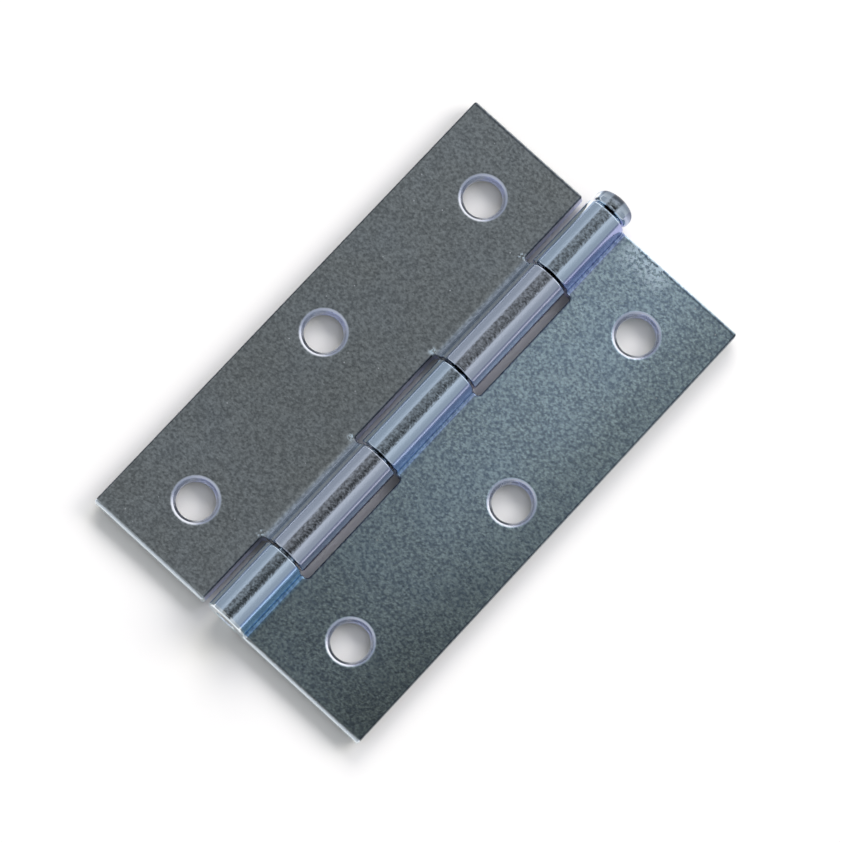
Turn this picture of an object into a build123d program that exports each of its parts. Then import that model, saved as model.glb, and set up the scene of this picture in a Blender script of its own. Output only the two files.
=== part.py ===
from build123d import *
import os
from math import acos, atan2, degrees, sqrt

# Loose pin butt hinge, lying open and flat with its countersunk faces up.
# X runs across the hinge, Y along the pin towards its head, Z up.
# The origin lies under the barrel, half way along the hinge from leaf end to pin head.

# Sheet leaves
leaf_length = 76.0
leaf_reach = 24.0
sheet_t = 1.6
edge_bevel = 0.2

# Rolled knuckles
pin_d = 3.0
pin_play = 0.05
three_knuckle_bend_r = 0.6
two_knuckle_bend_r = 1.6
seam_gap = 0.4
closed_gap = 1.6
centre_knuckle = 15.4
inner_knuckle = 18.0
knuckle_gap = 0.35
notch_gap = 1.0
notch_corner_r = 0.6

# Countersunk screw holes: an outer pair near the pin and a middle one further out
hole_d = 5.4
sink_d = 6.9
hole_pitch = 57.2
hole_row = 14.1
middle_hole_row = 17.2

# Loose pin
head_d = 5.9
head_h = 2.7
head_gap = 0.3
head_base_r = 0.65
head_shoulder_r = 1.35
head_belt_h = 1.0
tip_inset = 0.1
tip_bevel = 0.3
tip_length = 0.3

# Sizes that follow from the ones above
bore_r = pin_d / 2 + pin_play
barrel_r = bore_r + sheet_t
axis_z = barrel_r
face_z = axis_z - closed_gap / 2
back_z = face_z - sheet_t
notch_x = barrel_r + notch_gap
end_knuckle = (leaf_length - centre_knuckle - 2 * inner_knuckle - 4 * knuckle_gap) / 2
mid_y = -(head_gap + head_h) / 2
pin_axis = Axis((0, 0, axis_z), (0, 1, 0))


def knuckle_spans():
    """Start and end of each knuckle along the barrel, from the pin head down, about the leaf's middle."""
    spans = []
    top = leaf_length / 2
    for length in (end_knuckle, inner_knuckle, centre_knuckle, inner_knuckle, end_knuckle):
        spans.append((top - length, top))
        top -= length + knuckle_gap
    return spans


def sheet_section(bend_r):
    """Section of a leaf on the +X side: flat sheet, reverse bend up, and the curl round the pin."""
    centre_span = barrel_r + bend_r
    bend_z = face_z + bend_r
    bend_x = sqrt(centre_span**2 - (bend_z - axis_z) ** 2)
    lean = degrees(atan2(bend_z - axis_z, bend_x))
    back_r = bend_r + sheet_t
    opening = (barrel_r**2 + centre_span**2 - (back_r + seam_gap) ** 2) / (2 * barrel_r * centre_span)
    sweep = 360 - degrees(acos(opening))
    with BuildSketch(Plane.XZ) as section:
        with BuildLine():
            Line((leaf_reach, face_z), (bend_x, face_z))
            CenterArc((bend_x, bend_z), bend_r, 270, lean - 90)
            outside = CenterArc((0, axis_z), barrel_r, lean, sweep)
            inside = CenterArc((0, axis_z), bore_r, lean + sweep, -sweep)
            Line(outside @ 1, inside @ 0)
            CenterArc((bend_x, bend_z), back_r, 180 + lean, 90 - lean)
            Line((bend_x, back_z), (leaf_reach, back_z))
            Line((leaf_reach, back_z), (leaf_reach, face_z))
        make_face()
    return section.sketch


def notch(span):
    """Gap in the rolled edge that lets the other leaf's knuckle in, with rounded inner corners."""
    low = span[0] - knuckle_gap
    high = span[1] + knuckle_gap
    if span[0] <= -leaf_length / 2:
        low -= leaf_length
    if span[1] >= leaf_length / 2:
        high += leaf_length
    left = -barrel_r - notch_gap
    with BuildPart() as cutter:
        with BuildSketch(Plane.XY):
            with Locations(((left + notch_x) / 2, (low + high) / 2)):
                Rectangle(notch_x - left, high - low)
            fillet(vertices().group_by(Axis.X)[-1], notch_corner_r)
        extrude(amount=4 * axis_z, both=True)
    return cutter.part


def shown_edges(leaf, bend_r):
    """Outline edges of the face that shows: flat, bend and barrel, without the seam under the barrel."""
    skin = []
    for face in leaf.faces():
        flat = face.geom_type == GeomType.PLANE and abs(face.center().Z - face_z) < 1e-6
        if flat and face.normal_at().Z > 0.99:
            skin.append(face)
        elif face.geom_type == GeomType.CYLINDER and abs(face.axis_of_rotation.direction.Y) > 0.99:
            if abs(face.radius - barrel_r) < 1e-6 or abs(face.radius - bend_r) < 1e-6:
                skin.append(face)
    edges = [edge for face in skin for edge in face.edges()]
    outline = []
    for edge in edges:
        uses = sum(1 for other in edges if other.is_same(edge))
        seam = edge.geom_type == GeomType.LINE and edge.center().Z < (back_z + face_z) / 2
        if uses == 1 and not seam:
            outline.append(edge)
    return outline


def screw_hole(x, y):
    """Clearance hole with a right-angled countersink open to the face that shows."""
    sink_depth = (sink_d - hole_d) / 2
    shank = Pos(x, y, back_z) * Cylinder(hole_d / 2, 4 * sheet_t)
    sink = Pos(x, y, face_z) * Cone(hole_d / 2 - sink_depth, sink_d / 2 + sink_depth, 4 * sink_depth)
    return shank + sink


def leaf(own, side, bend_r):
    """One leaf: rolled sheet, notched where it lacks a knuckle, edges eased, drilled, on side +1 or -1."""
    body = extrude(sheet_section(bend_r), leaf_length / 2, both=True)
    for index, span in enumerate(knuckle_spans()):
        if index not in own:
            body -= notch(span)
    body = chamfer(shown_edges(body, bend_r), edge_bevel)
    for y in (hole_pitch / 2, -hole_pitch / 2):
        body -= screw_hole(hole_row, y)
    body -= screw_hole(middle_hole_row, 0)
    if side < 0:
        body = mirror(body, Plane.YZ)
    return Pos(0, mid_y, 0) * body


def loose_pin():
    """Headed pin: button head just clear of the top knuckle, plain shank, bevelled tip in the last one."""
    seat_y = leaf_length / 2 + head_gap
    tip_y = -leaf_length / 2 + tip_inset
    bevel_y = tip_y + tip_length
    pin_r = pin_d / 2
    head_r = head_d / 2
    base = (head_r - head_base_r, seat_y + head_base_r)
    shoulder = (head_r - head_shoulder_r, seat_y + head_belt_h)
    rise = head_h - head_belt_h
    crown_r = (shoulder[0] ** 2 + rise**2 - head_shoulder_r**2) / (2 * (rise - head_shoulder_r))
    crown_y = seat_y + head_h - crown_r
    lean = degrees(atan2(shoulder[1] - crown_y, shoulder[0]))
    with BuildSketch(Plane.XY.offset(axis_z)) as profile:
        with BuildLine():
            Line((0, tip_y), (pin_r - tip_bevel, tip_y))
            Line((pin_r - tip_bevel, tip_y), (pin_r, bevel_y))
            Line((pin_r, bevel_y), (pin_r, seat_y))
            Line((pin_r, seat_y), (base[0], seat_y))
            CenterArc(base, head_base_r, -90, 90)
            Line((head_r, base[1]), (head_r, shoulder[1]))
            CenterArc(shoulder, head_shoulder_r, 0, lean)
            CenterArc((0, crown_y), crown_r, lean, 90 - lean)
            Line((0, seat_y + head_h), (0, tip_y))
        make_face()
    return Pos(0, mid_y, 0) * revolve(profile.sketch, pin_axis)


os.makedirs("parts", exist_ok=True)
export_step(leaf(own=(0, 2, 4), side=1, bend_r=three_knuckle_bend_r), "parts/three_knuckle_leaf.step")
export_step(leaf(own=(1, 3), side=-1, bend_r=two_knuckle_bend_r), "parts/two_knuckle_leaf.step")
export_step(loose_pin(), "parts/hinge_pin.step")
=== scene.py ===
from math import acos, atan2, cos, pi, radians, sin, sqrt, tan
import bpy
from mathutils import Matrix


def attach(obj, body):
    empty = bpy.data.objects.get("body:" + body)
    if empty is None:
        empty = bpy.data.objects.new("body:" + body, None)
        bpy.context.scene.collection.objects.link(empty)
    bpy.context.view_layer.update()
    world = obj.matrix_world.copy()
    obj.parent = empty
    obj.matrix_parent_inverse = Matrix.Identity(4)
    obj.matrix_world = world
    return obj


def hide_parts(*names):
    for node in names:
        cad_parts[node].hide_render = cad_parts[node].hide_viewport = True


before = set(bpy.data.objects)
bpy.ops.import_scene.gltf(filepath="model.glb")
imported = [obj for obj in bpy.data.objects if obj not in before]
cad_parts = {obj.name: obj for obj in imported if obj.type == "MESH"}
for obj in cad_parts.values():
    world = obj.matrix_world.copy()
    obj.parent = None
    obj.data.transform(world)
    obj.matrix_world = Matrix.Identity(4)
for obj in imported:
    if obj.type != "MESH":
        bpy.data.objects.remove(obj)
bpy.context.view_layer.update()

from types import SimpleNamespace

import bmesh
import bpy
from mathutils import Matrix, Vector
from mathutils.geometry import delaunay_2d_cdt

# Three-knuckle leaf: a blank punched from mild steel sheet, countersunk for three screws.
# Its three tongues are bent up sharply and curled into knuckles round the pin, and the whole
# leaf is then zinc plated. It stays put while the other leaf swings.

# Sizes in millimetres, as in the solids
mm = 0.001
sheet = 1.6
leaf_length = 76.0
leaf_reach = 24.0
leaf_middle = -1.5
face_height = 2.35
pin_height = 3.15
knuckle_radius = 3.15
sharp_bend = 0.6
notch_edge = 4.15
seam_gap = 0.4
end_knuckle = 11.6
inner_knuckle = 18.0
centre_knuckle = 15.4
knuckle_gap = 0.35
hole_pitch = 57.2
outer_row = 14.1
middle_row = 17.2
hole_radius = 2.7
sink_radius = 3.45
lip_width = 0.36
lip_depth = 0.22

# The punch rolls the show side of every cut edge over and leaves the back nearly square; the
# shear that parts one leaf from the next rolls the end away from the pin's head over further
rolled_edge = 0.3
sheared_end = 0.65
back_edge = 0.07
edge_margin = 0.02
blank_corner = 0.36
tongue_corner = 0.36
notch_corner = 0.6
lip_round = 0.2
sink_foot = 0.2

# How finely the mesh follows arcs, bends, straight edges and flat faces
arc_step = radians(10)
hole_steps = 96
bend_step = 0.2
edge_step = 1.5
grid_step = 2.0
least_face = 1e-4

half = sheet / 2
screw_holes = [(outer_row, hole_pitch / 2), (middle_row, 0), (outer_row, -hole_pitch / 2)]

# The five knuckles along the barrel, from the pin's head down, measured from the leaf's middle
knuckles = []
top = leaf_length / 2
for knuckle_length in (end_knuckle, inner_knuckle, centre_knuckle, inner_knuckle, end_knuckle):
    knuckles.append((round(top - knuckle_length, 3), round(top, 3)))
    top -= knuckle_length + knuckle_gap


def marks(low, high, step):
    """Evenly spaced places strictly between two ends, no further apart than a step."""
    pieces = max(1, int(abs(high - low) / step + 0.999))
    return [low + (high - low) * k / pieces for k in range(1, pieces)]


def rolled_tongue(bend_radius):
    """Where the flat sheet ends, how long the reverse bend and the curl are, and places along both."""
    t = SimpleNamespace()
    t.height = face_height + bend_radius
    t.start = sqrt((knuckle_radius + bend_radius) ** 2 - (t.height - pin_height) ** 2)
    t.lean = atan2(t.height - pin_height, t.start)
    t.bend_fibre = bend_radius + half
    t.curl_fibre = knuckle_radius - half
    t.bend = t.bend_fibre * (pi / 2 - t.lean)
    span = knuckle_radius + bend_radius
    back = bend_radius + sheet + seam_gap
    seam = acos((knuckle_radius**2 + span**2 - back**2) / (2 * knuckle_radius * span))
    t.end = t.bend + t.curl_fibre * (2 * pi - seam)
    t.outer = t.start - leaf_reach
    t.notch = t.start - notch_edge
    t.marks = marks(0, t.bend, bend_step) + [t.bend] + marks(t.bend, t.end, bend_step)
    return t


def roll(t, u, y, lift):
    """Place of a point of the flat blank once its tongues are bent up and curled round the pin."""
    if u <= 0:
        return Vector((t.start - u, y + leaf_middle, face_height - half + lift))
    if u <= t.bend:
        turn = u / t.bend_fibre
        radius = t.bend_fibre - lift
        return Vector((t.start - radius * sin(turn), y + leaf_middle, t.height - radius * cos(turn)))
    turn = t.lean + (u - t.bend) / t.curl_fibre
    radius = t.curl_fibre + lift
    return Vector((radius * cos(turn), y + leaf_middle, pin_height + radius * sin(turn)))


def eased(corners, closed):
    """Points along straight lines from corner to corner, each corner (a, b, radius) rounded off."""
    points = []
    count = len(corners)
    for i, (a, b, radius) in enumerate(corners):
        here = Vector((a, b))
        if radius == 0 or not closed and i in (0, count - 1):
            points.append(here)
            continue
        before = (Vector(corners[i - 1][:2]) - here).normalized()
        after = (Vector(corners[(i + 1) % count][:2]) - here).normalized()
        opening = before.angle(after)
        cut = radius / tan(opening / 2)
        centre = here + (before + after).normalized() * (radius / sin(opening / 2))
        start = here + before * cut - centre
        turn = (here + after * cut - centre).angle_signed(start)
        steps = max(2, round(abs(turn) / arc_step))
        for k in range(steps + 1):
            points.append(centre + Matrix.Rotation(turn * k / steps, 2) @ start)
    return points


def stepped(t, points):
    """A closed outline with extra points: at every bend mark along a tongue, and evenly elsewhere."""
    fine = []
    for here, there in zip(points, points[1:] + points[:1]):
        fine.append(here)
        run = there - here
        if abs(run.y) < 1e-3 and run.length > bend_step:
            low, high = sorted((here.x, there.x))
            places = [u for u in t.marks if low + 0.05 < u < high - 0.05]
            places += marks(low, min(high, 0), edge_step) if low < 0 else []
            for u in sorted(places, reverse=run.x < 0):
                fine.append(Vector((u, here.y)))
        elif run.length > edge_step:
            for y in marks(here.y, there.y, edge_step):
                fine.append(Vector((here.x, y)))
    return fine


def blank_outline(t, tongues):
    """Outline of the punched blank: u runs from the outer edge to the tongues' ends, y along the leaf."""
    end = leaf_length / 2
    corners = [(t.outer, -end, blank_corner)]
    if tongues[0][0] > -end:
        corners.append((t.notch, -end, blank_corner))
    for low, high in tongues:
        if low > -end:
            corners.append((t.notch, low, notch_corner))
        corners.append((t.end, low, tongue_corner))
        corners.append((t.end, high, tongue_corner))
        if high < end:
            corners.append((t.notch, high, notch_corner))
    if tongues[-1][1] < end:
        corners.append((t.notch, end, blank_corner))
    corners.append((t.outer, end, blank_corner))
    return stepped(t, eased(corners, True))


def hole_outline(t, row, y):
    """Outline of a drilled hole, run the other way round so that the sheet lies on its left."""
    centre = Vector((t.start - row, y))
    turns = [2 * pi * k / hole_steps for k in range(hole_steps)]
    return [centre + Vector((cos(turn), -sin(turn))) * hole_radius for turn in turns]


def encloses(outline, point):
    """Whether a closed outline goes round a point."""
    within = False
    for a, b in zip(outline, outline[1:] + outline[:1]):
        if (a.y > point.y) != (b.y > point.y):
            if point.x < a.x + (point.y - a.y) / (b.y - a.y) * (b.x - a.x):
                within = not within
    return within


def clear_of(outlines, point, room):
    """Whether a point keeps some room from every outline."""
    return all((point - corner).length > room for outline in outlines for corner in outline)


def end_roll(t, point):
    """How much wider the roll-over is at a leaf's sheared end, fading out at the corner and the bend."""
    if abs(point.y + leaf_length / 2) > 1e-3:
        return 1.0
    full = min(1.0, (point.x - t.outer) / edge_step, max(0.0, -point.x / grid_step))
    return 1.0 + full * (sheared_end / rolled_edge - 1.0)


def rolled_leaf(name, bend_radius, tongues, side):
    """A leaf as one closed mesh: a punched and countersunk blank, its tongues then curled."""
    t = rolled_tongue(bend_radius)
    cut_edge = [(rolled_edge + edge_margin, half, 0), (0, half, rolled_edge), (0, -half, back_edge)]
    cut_edge.append((back_edge + edge_margin, -half, 0))
    sink = sink_radius - hole_radius
    sunk_edge = [(sink + lip_round, half, 0), (sink, half, lip_round)]
    sunk_edge += [(sink - lip_width, half - lip_depth, lip_round), (0, half - sink, sink_foot)]
    sunk_edge += [(0, -half, back_edge), (back_edge + edge_margin, -half, 0)]
    outlines = [blank_outline(t, tongues)] + [hole_outline(t, row, y) for row, y in screw_holes]
    leaf = bmesh.new()
    shown, hidden, flat, rims, edges = [], [], [], [], []
    for outline in outlines:
        profile = eased(cut_edge if outline is outlines[0] else sunk_edge, False)
        count = len(outline)
        first = len(flat)
        rings = []
        for i, point in enumerate(outline):
            along = (outline[(i + 1) % count] - outline[i - 1]).normalized()
            inward = Vector((-along.y, along.x))
            reach = end_roll(t, point) if outline is outlines[0] else 1.0
            steps = [point + inward * p.x * (reach if p.y > 0 else 1.0) for p in profile]
            rings.append([leaf.verts.new(roll(t, s.x, s.y, p.y) * mm) for s, p in zip(steps, profile)])
            flat.append(steps[0])
            shown.append(rings[-1][0])
            hidden.append(rings[-1][-1])
            edges.append((first + i, first + (i + 1) % count))
        rims.append(flat[first:])
        for near, far in zip(rings, rings[1:] + rings[:1]):
            for k in range(len(profile) - 1):
                leaf.faces.new((near[k], far[k], far[k + 1], near[k + 1]))

    def on_sheet(point):
        return encloses(rims[0], point) and not any(encloses(rim, point) for rim in rims[1:])

    end = leaf_length / 2
    for u in marks(t.outer, 0, grid_step) + [0] + t.marks[:-1]:
        for y in marks(-end, end, grid_step):
            point = Vector((u, y))
            if on_sheet(point) and clear_of(rims, point, bend_step):
                flat.append(point)
                shown.append(leaf.verts.new(roll(t, u, y, half) * mm))
                hidden.append(leaf.verts.new(roll(t, u, y, -half) * mm))
    points, _, faces, origins, _, _ = delaunay_2d_cdt(flat, edges, [], 0, 1e-7)
    for a, b, c in faces:
        area = abs((points[b] - points[a]).cross(points[c] - points[a])) / 2
        if area > least_face and on_sheet((points[a] + points[b] + points[c]) / 3):
            corners = [origins[i][0] for i in (a, b, c)]
            leaf.faces.new([shown[i] for i in corners])
            leaf.faces.new([hidden[i] for i in reversed(corners)])
    if side < 0:
        bmesh.ops.scale(leaf, vec=(-1, 1, 1), verts=leaf.verts)
    bmesh.ops.recalc_face_normals(leaf, faces=leaf.faces)
    return new_piece(name, leaf)


def new_piece(name, shape):
    """A smooth-shaded object in the scene from a finished bmesh."""
    mesh = bpy.data.meshes.new(name)
    shape.to_mesh(mesh)
    shape.free()
    mesh.polygons.foreach_set("use_smooth", [True] * len(mesh.polygons))
    piece = bpy.data.objects.new(name, mesh)
    bpy.context.scene.collection.objects.link(piece)
    return piece


# Zinc plate, the same on all three pieces: the scales of its noise, how far its gloss wanders
# and, in millimetres, how deep its grain is
grain_scale = 2250.0
cloud_scale = 130.0
speck_scale = 500.0
grain_detail = 1.2
cloud_detail = 2.0
noise_rough = 0.6
finer_scale = 1.4
speck_share = 0.5
satin_spread = 0.04
grain_relief = 0.025


def plated_grain():
    """Node group for zinc plate: mottled grain of the steel below, soft clouds, and pin pricks for painted
    glints.
    """
    group = bpy.data.node_groups.new("plated_grain", "ShaderNodeTree")
    for label in ("Grain Scale", "Cloud Scale", "Speck Scale"):
        group.interface.new_socket(label, in_out="INPUT", socket_type="NodeSocketFloat")
    for label in ("Grain", "Cloud", "Speck", "Height"):
        group.interface.new_socket(label, in_out="OUTPUT", socket_type="NodeSocketFloat")
    nodes, links = group.nodes, group.links
    entry = nodes.new("NodeGroupInput")
    out = nodes.new("NodeGroupOutput")
    place = nodes.new("ShaderNodeTexCoord")
    mottles = (("Grain", grain_detail, 0.34, 0.66), ("Cloud", cloud_detail, 0.25, 0.75))
    for label, detail, low, high in mottles:
        noise = nodes.new("ShaderNodeTexNoise")
        noise.inputs["Detail"].default_value = detail
        noise.inputs["Roughness"].default_value = noise_rough
        links.new(place.outputs["Object"], noise.inputs["Vector"])
        links.new(entry.outputs[label + " Scale"], noise.inputs["Scale"])
        spread = nodes.new("ShaderNodeMapRange")
        spread.inputs["From Min"].default_value = low
        spread.inputs["From Max"].default_value = high
        links.new(noise.outputs["Fac"], spread.inputs["Value"])
        links.new(spread.outputs["Result"], out.inputs[label])
    finer = nodes.new("ShaderNodeMath")
    finer.operation = "MULTIPLY"
    finer.inputs[1].default_value = finer_scale
    links.new(entry.outputs["Grain Scale"], finer.inputs[0])
    orange_peel = nodes.new("ShaderNodeTexNoise")
    orange_peel.inputs["Detail"].default_value = 1.0
    links.new(place.outputs["Object"], orange_peel.inputs["Vector"])
    links.new(finer.outputs[0], orange_peel.inputs["Scale"])
    links.new(orange_peel.outputs["Fac"], out.inputs["Height"])
    cells = nodes.new("ShaderNodeTexVoronoi")
    links.new(place.outputs["Object"], cells.inputs["Vector"])
    links.new(entry.outputs["Speck Scale"], cells.inputs["Scale"])
    prick = nodes.new("ShaderNodeMapRange")
    prick.interpolation_type = "SMOOTHSTEP"
    prick.inputs["From Min"].default_value = 0.07
    prick.inputs["From Max"].default_value = 0.03
    links.new(cells.outputs["Distance"], prick.inputs["Value"])
    lottery = nodes.new("ShaderNodeSeparateColor")
    links.new(cells.outputs["Color"], lottery.inputs["Color"])
    drawn = nodes.new("ShaderNodeMath")
    drawn.operation = "GREATER_THAN"
    drawn.inputs[1].default_value = speck_share
    links.new(lottery.outputs["Red"], drawn.inputs[0])
    speck = nodes.new("ShaderNodeMath")
    speck.operation = "MULTIPLY"
    links.new(prick.outputs["Result"], speck.inputs[0])
    links.new(drawn.outputs[0], speck.inputs[1])
    links.new(speck.outputs[0], out.inputs["Speck"])
    return group


grain_group = plated_grain()


def ramp(owner, value, start, end):
    """A soft step, from 0 where a value is at its start to 1 at its end."""
    node = owner.node_tree.nodes.new("ShaderNodeMapRange")
    node.interpolation_type = "SMOOTHSTEP"
    node.inputs["From Min"].default_value = start
    node.inputs["From Max"].default_value = end
    owner.node_tree.links.new(value, node.inputs["Value"])
    return node.outputs["Result"]


def overlap(owner, first, second):
    """Where two masks are both 1."""
    node = owner.node_tree.nodes.new("ShaderNodeMath")
    node.operation = "MULTIPLY"
    owner.node_tree.links.new(first, node.inputs[0])
    owner.node_tree.links.new(second, node.inputs[1])
    return node.outputs[0]


def mixed(owner, mask, under, over, kind="MIX"):
    """A colour laid over another where a mask is 1, or multiplied into it."""
    node = owner.node_tree.nodes.new("ShaderNodeMix")
    node.data_type = "RGBA"
    node.blend_type = kind
    owner.node_tree.links.new(mask, node.inputs["Factor"])
    for label, colour in (("A", under), ("B", over)):
        if isinstance(colour, tuple):
            node.inputs[label].default_value = (*colour, 1)
        else:
            owner.node_tree.links.new(colour, node.inputs[label])
    return node.outputs["Result"]


def across(material, axis, start, end):
    """A soft step over the surface between two places along an axis, in millimetres."""
    nodes, links = material.node_tree.nodes, material.node_tree.links
    place = nodes.new("ShaderNodeTexCoord")
    axes = nodes.new("ShaderNodeSeparateXYZ")
    links.new(place.outputs["Object"], axes.inputs["Vector"])
    return ramp(material, axes.outputs[axis], start * mm, end * mm)


def between(material, axis, low, high, soft):
    """A soft stripe over the surface between two places along an axis, in millimetres."""
    rise = across(material, axis, low - soft, low + soft)
    return overlap(material, rise, across(material, axis, high + soft, high - soft))


def turned_from(material, axis, start, end):
    """A soft step over the surface by how far it faces along an axis, as a cut edge does."""
    place = material.node_tree.nodes.new("ShaderNodeTexCoord")
    facing = material.node_tree.nodes.new("ShaderNodeSeparateXYZ")
    material.node_tree.links.new(place.outputs["Normal"], facing.inputs["Vector"])
    return ramp(material, facing.outputs[axis], start, end)


def coated(material, mask, tone, kind="MIX"):
    """Lay a tone over a plate's colour where a mask is 1, or multiply it in."""
    base = material.node_tree.nodes["Principled BSDF"].inputs["Base Color"]
    colour = mixed(material, mask, base.links[0].from_socket, tone, kind)
    material.node_tree.links.new(colour, base)


def tinted(material, mask, tint):
    """Multiply a plate's colour by a tint where a mask is 1."""
    coated(material, mask, tint, "MULTIPLY")


def dulled(material, mask, rough):
    """Make a surface rougher where a mask is 1."""
    nodes, links = material.node_tree.nodes, material.node_tree.links
    socket = nodes["Principled BSDF"].inputs["Roughness"]
    node = nodes.new("ShaderNodeMix")
    node.inputs["B"].default_value = rough
    links.new(mask, node.inputs["Factor"])
    links.new(socket.links[0].from_socket, node.inputs["A"])
    links.new(node.outputs["Result"], socket)


# Where the plate changes, in millimetres: the curl begins and is full, the crown of the barrel
# with its painted dark band, its flanks, the parts under it, and the bend that was rolled smooth
curl_start = 2.5
curl_full = 3.2
crown_height = 5.9
crown_half = 0.85
flank = 2.3
under_reach = 4.4
under_height = 2.2
bend_reach = 4.6
rubbed_half = 1.6
right_flank = (2.0, 2.25)

# Tones of the plate, and how much the crown's painted dark band keeps of the curl's tone
cloud_tint = (0.95, 0.97, 1.0)
speck_glint_tone = (0.92, 0.95, 0.97)
under_tone = (0.80, 0.82, 1.0)
band_shade_dark = 0.335
band_shade_light = 0.81
flank_rough = 0.17
right_flank_shade = (0.66, 0.65, 0.76)
left_flank_shade_and_light = [(-2.4, -2.05, (0.50, 0.54, 0.62)), (-2.8, -2.45, (1.6, 1.55, 1.6))]


def zinc(name, dark, light, satin, curl, gloss):
    """Zinc plate: satin and grainy on the flat sheet, bright and even in tone where it is curled."""
    material = bpy.data.materials.new(name)
    material.use_nodes = True
    nodes, links = material.node_tree.nodes, material.node_tree.links
    shader = nodes["Principled BSDF"]
    shader.inputs["Metallic"].default_value = 1.0
    grain = nodes.new("ShaderNodeGroup")
    grain.node_tree = grain_group
    grain.inputs["Grain Scale"].default_value = grain_scale
    grain.inputs["Cloud Scale"].default_value = cloud_scale
    grain.inputs["Speck Scale"].default_value = speck_scale
    curled = across(material, "Z", curl_start, curl_full)
    tone = mixed(material, grain.outputs["Grain"], dark, light)
    tone = mixed(material, grain.outputs["Cloud"], tone, cloud_tint, "MULTIPLY")
    # Specks lightened in colour: painted glints
    tone = mixed(material, grain.outputs["Speck"], tone, speck_glint_tone)
    # Painted light: a brighter bluish tone under the barrel, so that the light it throws into the slots is
    # lavender
    low = across(material, "Z", under_height, under_height - 0.15)
    under = overlap(material, between(material, "X", -under_reach, under_reach, 0.1), low)
    tone = mixed(material, under, tone, under_tone)
    # Painted dark reflection along the barrel's crown, mottled with the grain, where it mirrors the dark
    # opening overhead
    top = across(material, "Z", crown_height - 0.1, crown_height + 0.1)
    crown = overlap(material, top, grain.outputs["Grain"])
    crown = overlap(material, crown, between(material, "X", -crown_half, crown_half, 0.1))
    shaded_band_dark = tuple(band_shade_dark * c for c in curl)
    shaded_band_light = tuple(band_shade_light * c for c in curl)
    on_shaded_band = overlap(material, between(material, "X", -crown_half, crown_half, 0.15), curled)
    bright = mixed(material, on_shaded_band, curl, mixed(material, crown, shaded_band_dark, shaded_band_light))
    # Painted shade over the bright line where the right flank mirrors the far table
    bright = mixed(material, across(material, "X", *right_flank), bright, right_flank_shade, "MULTIPLY")
    # Painted shade over the same line on the left flank, and painted light just beyond it
    for band_low, band_high, tint in left_flank_shade_and_light:
        band = between(material, "X", band_low, band_high, 0.1)
        bright = mixed(material, band, bright, tint, "MULTIPLY")
    links.new(mixed(material, curled, tone, bright), shader.inputs["Base Color"])
    flat_rough = nodes.new("ShaderNodeMapRange")
    flat_rough.inputs["To Min"].default_value = satin - satin_spread
    flat_rough.inputs["To Max"].default_value = satin + satin_spread
    links.new(grain.outputs["Cloud"], flat_rough.inputs["Value"])
    curl_rough = nodes.new("ShaderNodeMapRange")
    curl_rough.inputs["To Min"].default_value = flank_rough
    curl_rough.inputs["To Max"].default_value = gloss
    links.new(between(material, "X", -flank, flank, 0.4), curl_rough.inputs["Value"])
    rough = nodes.new("ShaderNodeMix")
    links.new(curled, rough.inputs["Factor"])
    links.new(flat_rough.outputs["Result"], rough.inputs["A"])
    links.new(curl_rough.outputs["Result"], rough.inputs["B"])
    links.new(rough.outputs["Result"], shader.inputs["Roughness"])
    off_bend = nodes.new("ShaderNodeMath")
    off_bend.operation = "SUBTRACT"
    off_bend.inputs[0].default_value = 1.0
    links.new(between(material, "X", -bend_reach, bend_reach, 0.6), off_bend.inputs[1])
    rubbed = nodes.new("ShaderNodeMath")
    rubbed.operation = "MAXIMUM"
    links.new(off_bend.outputs[0], rubbed.inputs[0])
    links.new(between(material, "X", -rubbed_half, rubbed_half, 0.3), rubbed.inputs[1])
    relief = nodes.new("ShaderNodeBump")
    relief.inputs["Distance"].default_value = grain_relief * mm
    links.new(overlap(material, grain.outputs["Height"], rubbed.outputs[0]), relief.inputs["Height"])
    links.new(relief.outputs["Normal"], shader.inputs["Normal"])
    return material


# Painted light and shade on the cut edges and screw holes, and rubbed flecks with painted glints; places in
# millimetres
sheared_line = leaf_middle - leaf_length / 2 + 0.4
sheared_highlight_tone = (0.90, 0.97, 1.0)
head_line = leaf_middle + leaf_length / 2
end_line_shade = (0.5, 0.52, 0.56)
scuff_scale = 2300.0
scuff_glint_tone = (0.84, 0.95, 1.0)
scuff_rough = 0.8
back_height = face_height - sheet
hole_run = 34.5
drilled_tone = (0.68, 0.72, 0.83)
lavender_reflection_tone = (0.66, 0.72, 1.0)
lip_highlight_tone = (0.86, 0.88, 0.92)
shaft_shade_tone = (0.22, 0.24, 0.27)


def flat_sheet(material):
    """The leaf below the height where its tongues curl."""
    return across(material, "Z", curl_full, curl_start)


def edge_shade_lines(material, side, outer_shade, notch_shade):
    """Painted shade: darken the thin lines of the rolled edges, the outer edge, the notches and the end by
    the head.
    """
    outer = across(material, "X", side * (leaf_reach - 0.5), side * (leaf_reach - 0.3))
    outer = overlap(material, outer, turned_from(material, "X", side * 0.1, side * 0.4))
    tinted(material, outer, outer_shade)
    notch = across(material, "X", side * 6, side * 5)
    notch = overlap(material, notch, turned_from(material, "X", side * -0.02, side * -0.2))
    tinted(material, overlap(material, flat_sheet(material), notch), notch_shade)
    head_end = between(material, "Y", head_line - 0.5, head_line - 0.18, 0.08)
    head_end = overlap(material, head_end, across(material, "X", side * 4, side * 5))
    tinted(material, head_end, end_line_shade)


def painted_end_highlight(material):
    """Painted highlight on the leaf's sheared end, where its rolled edge mirrors the bright table and wall
    beyond.
    """
    coated(material, across(material, "Y", sheared_line + 0.2, sheared_line), sheared_highlight_tone)


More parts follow.
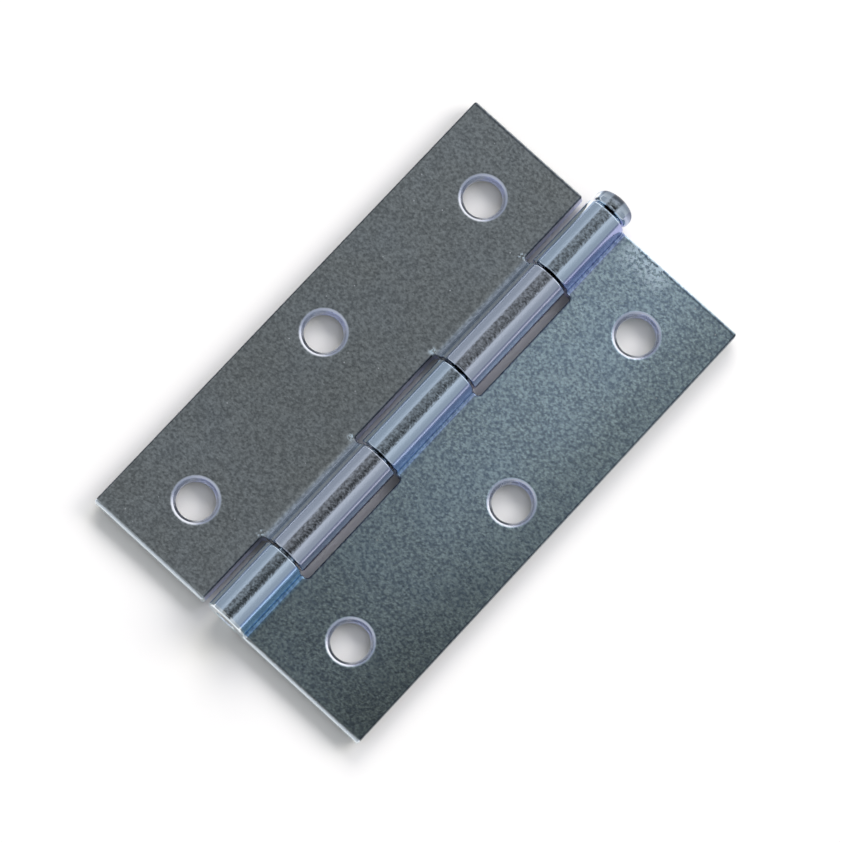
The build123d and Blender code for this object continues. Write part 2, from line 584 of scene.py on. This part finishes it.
def hole_wall_light_and_shade(material, near, far):
    """Screw hole walls: painted highlight on the lip facing the head, painted shade below, lavender painted
    reflection opposite.
    """
    row = between(material, "Y", leaf_middle - hole_run, leaf_middle + hole_run, 0.1)
    row = overlap(material, between(material, "X", near, far, 0.1), row)
    below_face = across(material, "Z", face_height, face_height - 0.12)
    above_back = across(material, "Z", back_height + 0.01, back_height + 0.09)
    wall = overlap(material, row, overlap(material, below_face, above_back))
    colour = mixed(material, turned_from(material, "Y", -0.55, -0.75), drilled_tone, lavender_reflection_tone)
    colour = mixed(material, turned_from(material, "Y", 0.3, 0.48), colour, lip_highlight_tone)
    colour = mixed(material, turned_from(material, "Y", 0.55, 0.75), colour, shaft_shade_tone)
    coated(material, wall, colour)


def scuffs_and_glints(material, place):
    """Bright flecks where a mask is 1: rougher, as rubbed wear, and lightened in colour as painted glints.
    """
    flecks = material.node_tree.nodes.new("ShaderNodeGroup")
    flecks.node_tree = grain_group
    flecks.inputs["Grain Scale"].default_value = scuff_scale
    mask = overlap(material, place, ramp(material, flecks.outputs["Grain"], 0.35, 0.8))
    coated(material, mask, scuff_glint_tone)
    dulled(material, mask, scuff_rough)


# This leaf is the bluer one. Painted shade darkens it towards its sheared end and its outer edge,
# and the roots of its tongues carry painted shade and reflection that run from violet by the head to blue
fixed_dark = (0.345, 0.453, 0.56)
fixed_light = (0.745, 0.94, 1.0)
fixed_curl = (0.68, 0.80, 0.91)
sheared_end_shade = (0.58, 0.56, 0.53)
outer_side_shade = (0.72, 0.71, 0.68)
violet_root_shade = (0.90, 0.83, 1.0)
blue_root_reflection = (1.05, 1.4, 1.7)
root_line_shade = (0.72, 0.75, 0.90)

fixed_leaf = rolled_leaf("fixed_leaf_plate", sharp_bend, [knuckles[4], knuckles[2], knuckles[0]], 1)
fixed_zinc = zinc("zinc_fixed_leaf", fixed_dark, fixed_light, satin=0.26, curl=fixed_curl, gloss=0.13)
flat_part = flat_sheet(fixed_zinc)
# Painted shade: darker towards the sheared end and the outer edge of the flat sheet
tinted(fixed_zinc, overlap(fixed_zinc, flat_part, across(fixed_zinc, "Y", 20, -40)), sheared_end_shade)
tinted(fixed_zinc, overlap(fixed_zinc, flat_part, across(fixed_zinc, "X", 12, 24)), outer_side_shade)
# Painted shade and painted bluish reflection in the creases where the tongues rise
root = overlap(fixed_zinc, across(fixed_zinc, "X", 2.0, 2.6), across(fixed_zinc, "X", 4.2, 3.3))
tinted(fixed_zinc, overlap(fixed_zinc, root, across(fixed_zinc, "Y", -30, 30)), violet_root_shade)
tinted(fixed_zinc, overlap(fixed_zinc, root, across(fixed_zinc, "Y", 10, -34)), blue_root_reflection)
# Painted shade over a bright line at the foot of each tongue's bend
root_line = overlap(fixed_zinc, across(fixed_zinc, "X", 4.0, 3.85), turned_from(fixed_zinc, "X", 0.06, 0.3))
tinted(fixed_zinc, overlap(fixed_zinc, root_line, across(fixed_zinc, "X", 3.2, 3.5)), root_line_shade)
# Painted shade along the rolled edges
edge_shade_lines(fixed_zinc, 1, outer_shade=(0.28, 0.28, 0.30), notch_shade=(0.5, 0.52, 0.56))
painted_end_highlight(fixed_zinc)
hole_wall_light_and_shade(fixed_zinc, 8, 22)
head_corner = between(fixed_zinc, "X", 5, 12, 1.5)
# Rubbed flecks near the head's corner, lightened as painted glints
scuffs_and_glints(fixed_zinc, overlap(fixed_zinc, across(fixed_zinc, "Y", 31.5, 36), head_corner))
fixed_leaf.data.materials.append(fixed_zinc)
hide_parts("three_knuckle_leaf")
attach(fixed_leaf, "fixed_leaf")

# Two-knuckle leaf: punched, countersunk and curled from the same sheet, with a broader bend and
# two tongues that fill the gaps between the other leaf's three. It swings on the pin, and its
# zinc is plainer and greyer. Painted light lifts its lower end, its bends and the far flanks of its
# knuckles, and the corners where the tongues leave the sheet carry rubbed flecks lightened as painted
# glints.
broad_bend = 1.6
swing_dark = (0.255, 0.276, 0.280)
swing_light = (0.449, 0.483, 0.483)
swing_curl = (0.68, 0.73, 0.82)
lower_end_light = (1.13, 1.13, 1.14)
bend_highlight = (1.25, 1.28, 1.35)
far_flank_light = (1.6, 1.45, 1.3)

swing_leaf = rolled_leaf("swing_leaf_plate", broad_bend, [knuckles[3], knuckles[1]], -1)
swing_zinc = zinc("zinc_swing_leaf", swing_dark, swing_light, satin=0.31, curl=swing_curl, gloss=0.13)
flat_part = flat_sheet(swing_zinc)
# Painted light on the lower end of the flat sheet and on the far flanks, and a painted highlight in the
# bend
tinted(swing_zinc, overlap(swing_zinc, flat_part, across(swing_zinc, "Y", -5, -38)), lower_end_light)
tinted(swing_zinc, between(swing_zinc, "X", -4.1, -3.4, 0.2), bend_highlight)
tinted(swing_zinc, across(swing_zinc, "X", 2.6, 2.8), far_flank_light)
edge_shade_lines(swing_zinc, -1, outer_shade=(0.3, 0.3, 0.32), notch_shade=(0.6, 0.62, 0.66))
painted_end_highlight(swing_zinc)
hole_wall_light_and_shade(swing_zinc, -22, -8)
for tongue_end in (*knuckles[1], *knuckles[3]):
    y = tongue_end + leaf_middle
    corner = between(swing_zinc, "Y", y - 0.5, y + 0.5, 0.3)
    scuffs_and_glints(swing_zinc, overlap(swing_zinc, corner, between(swing_zinc, "X", -5.1, -4.2, 0.3)))
swing_leaf.data.materials.append(swing_zinc)
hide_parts("two_knuckle_leaf")
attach(swing_leaf, "swing_leaf")

# Loose pin: headed steel wire, zinc plated like the leaves. The button head stops just short of
# the top knuckle, the shank fills the bore, and the bevelled tip ends in the last knuckle.
pin_radius = 1.5
tip_radius = 1.2
tip_flat = 0.9
tip_round = 0.08
tip_length = 0.3
tip_inset = 0.1
bevel_round = 0.15
head_gap = 0.3
head_radius = 2.95
head_base = 0.65
head_shoulder = 1.35
head_belt = 1.0
head_height = 2.7
base_steps = 8
shoulder_steps = 10
crown_steps = 9
pin_turns = 96
pin_dark = (0.62, 0.69, 0.74)
pin_light = (0.68, 0.74, 0.80)
pin_curl = (0.68, 0.77, 0.84)
head_far_shade = (0.34, 0.36, 0.40)
head_shade = (37.7, 38.6)
head_dull = (37.5, 38.0)
head_rough = 0.5

seat = leaf_length / 2 + head_gap
tip = -leaf_length / 2 + tip_inset
shoulder_inner = head_radius - head_shoulder
rise = head_height - head_belt
crown = (shoulder_inner**2 + rise**2 - head_shoulder**2) / (2 * (rise - head_shoulder))
crown_centre = seat + head_height - crown
crown_lean = atan2(seat + head_belt - crown_centre, shoulder_inner)
shank = [(tip_flat, tip, 0), (tip_radius, tip, tip_round), (pin_radius, tip + tip_length, bevel_round)]
shank += [(pin_radius, seat, 0), (head_radius - head_base, seat, 0)]
outline = [(p.x, p.y) for p in eased(shank, False)]
for k in range(1, base_steps + 1):
    a = -pi / 2 + pi / 2 * k / base_steps
    outline.append((head_radius - head_base + head_base * cos(a), seat + head_base + head_base * sin(a)))
for k in range(shoulder_steps + 1):
    a = crown_lean * k / shoulder_steps
    outline.append((shoulder_inner + head_shoulder * cos(a), seat + head_belt + head_shoulder * sin(a)))
for k in range(1, crown_steps):
    a = crown_lean + (pi / 2 - crown_lean) * k / crown_steps
    outline.append((crown * cos(a), crown_centre + crown * sin(a)))

turned = bmesh.new()
rings = []
for radius, y in outline:
    ring = []
    for k in range(pin_turns):
        a = 2 * pi * k / pin_turns
        spot = Vector((radius * cos(a), y + leaf_middle, pin_height + radius * sin(a)))
        ring.append(turned.verts.new(spot * mm))
    rings.append(ring)
for near, far in zip(rings, rings[1:]):
    for k in range(pin_turns):
        turned.faces.new((near[k], near[(k + 1) % pin_turns], far[(k + 1) % pin_turns], far[k]))
for ring, y in ((rings[0], tip), (rings[-1], seat + head_height)):
    apex = turned.verts.new(Vector((0, y + leaf_middle, pin_height)) * mm)
    for k in range(pin_turns):
        turned.faces.new((ring[k], ring[(k + 1) % pin_turns], apex))
bmesh.ops.recalc_face_normals(turned, faces=turned.faces)
loose_pin = new_piece("loose_pin", turned)
pin_zinc = zinc("zinc_pin", pin_dark, pin_light, satin=0.10, curl=pin_curl, gloss=0.08)
# Painted shade on the far side of the head, where it would mirror the bright table
tinted(pin_zinc, across(pin_zinc, "Y", *head_shade), head_far_shade)
dulled(pin_zinc, across(pin_zinc, "Y", *head_dull), head_rough)
loose_pin.data.materials.append(pin_zinc)
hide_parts("hinge_pin")
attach(loose_pin, "pin")

# Table top: a wide white sheet that the hinge lies on, matt so that it takes a soft shadow and
# a little warm, so that the bluish light of the tent leaves the shadow grey.
floor_reach = 3.0
table_tone = (0.95, 0.925, 0.875)
table_rough = 0.9
table_gloss = 0.2
floor_mesh = bpy.data.meshes.new("table_top")
corners = [(-floor_reach, -floor_reach, 0), (floor_reach, -floor_reach, 0)]
corners += [(floor_reach, floor_reach, 0), (-floor_reach, floor_reach, 0)]
floor_mesh.from_pydata(corners, [], [(0, 1, 2, 3)])
table_top = bpy.data.objects.new("table_top", floor_mesh)
bpy.context.scene.collection.objects.link(table_top)
white = bpy.data.materials.new("white_table_top")
white.use_nodes = True
matt = white.node_tree.nodes["Principled BSDF"]
matt.inputs["Base Color"].default_value = (*table_tone, 1)
matt.inputs["Roughness"].default_value = table_rough
matt.inputs["Specular IOR Level"].default_value = table_gloss
floor_mesh.materials.append(white)

# Light tent: pale walls all round, brightest low down beyond the pin's head, and a darker opening
# overhead where the camera looks in. The flat leaves mirror that opening, and the barrel shows it
# as a band along its crown. Places overhead are slopes from straight up.
wall_foot = (0.355, 0.385, 0.435)
wall_top = (0.64, 0.665, 0.715)
near_wall = (0.62, 0.635, 0.67)
far_wall = (1.15, 1.15, 1.2)
opening_tone = (0.34, 0.35, 0.36)
lens_tone = (0.06, 0.065, 0.066)
lens_slope_x = 0.108
lens_slope_y = -0.178
lens_reach = (0.20, 0.06)
opening_left = (-0.78, -0.62)
opening_right = (0.43, 0.32)
opening_near = (-0.6, -0.4)
opening_far = (0.5, 0.25)
wall_rise = (0.35, 1.0)
near_turn = (-0.4, -0.8)
near_rise = (0.75, 0.5)
far_turn = (0.5, 0.8)
far_rise = (0.85, 0.65)
tent = bpy.data.worlds.new("light_tent")
bpy.context.scene.world = tent
tent.use_nodes = True
nodes, links = tent.node_tree.nodes, tent.node_tree.links
sky = nodes["Background"]
direction = nodes.new("ShaderNodeTexCoord")
axes = nodes.new("ShaderNodeSeparateXYZ")
links.new(direction.outputs["Generated"], axes.inputs["Vector"])


def worked(operation, first, second):
    """A sum on two values in the tent's nodes, each a socket or a number."""
    node = nodes.new("ShaderNodeMath")
    node.operation = operation
    for socket, value in zip(node.inputs, (first, second)):
        if isinstance(value, float):
            socket.default_value = value
        else:
            links.new(value, socket)
    return node.outputs[0]


upward = worked("MAXIMUM", axes.outputs["Z"], 0.001)
slope_x = worked("DIVIDE", axes.outputs["X"], upward)
slope_y = worked("DIVIDE", axes.outputs["Y"], upward)
opening = overlap(tent, ramp(tent, slope_x, *opening_left), ramp(tent, slope_x, *opening_right))
opening = overlap(tent, opening, ramp(tent, slope_y, *opening_near))
opening = overlap(tent, opening, ramp(tent, slope_y, *opening_far))
from_lens_x = worked("SUBTRACT", slope_x, lens_slope_x)
from_lens_y = worked("SUBTRACT", slope_y, lens_slope_y)
from_lens_x = worked("MULTIPLY", from_lens_x, from_lens_x)
from_lens_y = worked("MULTIPLY", from_lens_y, from_lens_y)
lens_shade = ramp(tent, worked("ADD", from_lens_x, from_lens_y), *lens_reach)
height, depth = axes.outputs["Z"], axes.outputs["Y"]
wall = mixed(tent, ramp(tent, height, *wall_rise), wall_foot, wall_top)
near_side = overlap(tent, ramp(tent, depth, *near_turn), ramp(tent, height, *near_rise))
wall = mixed(tent, near_side, wall, near_wall)
far_side = overlap(tent, ramp(tent, depth, *far_turn), ramp(tent, height, *far_rise))
wall = mixed(tent, far_side, wall, far_wall)
overhead = mixed(tent, lens_shade, opening_tone, lens_tone)
links.new(mixed(tent, opening, wall, overhead), sky.inputs["Color"])
sky.inputs["Strength"].default_value = 1.0

# Lamps: two wide soft panels to either side beyond the pin's head, and a cooler one between them.
# They light the table and its shadow; the metal mirrors the tent, and not the panels.
side_size = (1.8, 1.5)
side_power = 51.0
side_colour = (1, 0.985, 0.96)
middle_size = (2.4, 1.4)
middle_power = 27.0
middle_colour = (0.74, 0.77, 1)


def soft_panel(name, size, power, spot, colour):
    """An area lamp aimed at the hinge."""
    light = bpy.data.lights.new(name, "AREA")
    light.shape = "RECTANGLE"
    light.size, light.size_y = size
    light.energy = power
    light.color = colour
    panel = bpy.data.objects.new(name, light)
    bpy.context.scene.collection.objects.link(panel)
    panel.location = spot
    panel.visible_glossy = False
    panel.rotation_euler = (-spot).to_track_quat("-Z", "Y").to_euler()


soft_panel("left_panel", side_size, side_power, Vector((-1.66, 2.10, 1.44)), side_colour)
soft_panel("right_panel", side_size, side_power, Vector((1.66, 2.10, 1.44)), side_colour)
soft_panel("middle_panel", middle_size, middle_power, Vector((0, 2.28, 1.72)), middle_colour)

# Camera: a long lens almost straight above, turned so that the barrel runs corner to corner.
# Its place and aim were fitted to the leaf corners and the countersinks.
picture_side = 842
focal_pixels = 4340
lens = bpy.data.cameras.new("camera")
lens.sensor_width = 36.0
lens.lens = focal_pixels * lens.sensor_width / picture_side
lens.clip_start = 0.01
lens.clip_end = 20
camera = bpy.data.objects.new("camera", lens)
bpy.context.scene.collection.objects.link(camera)
camera_spot = Vector((62.324, -102.606, 575.009)) * mm
sight = Vector((-0.10539, 0.17275, -0.97931)).normalized()
picture_up = Vector((-0.668, 0.71722, 0.19841))
picture_right = sight.cross(picture_up).normalized()
picture_up = picture_right.cross(sight)
turn = Matrix((picture_right, picture_up, -sight)).transposed().to_4x4()
camera.matrix_world = Matrix.Translation(camera_spot) @ turn
bpy.context.scene.camera = camera
bpy.context.scene.view_settings.view_transform = "Standard"
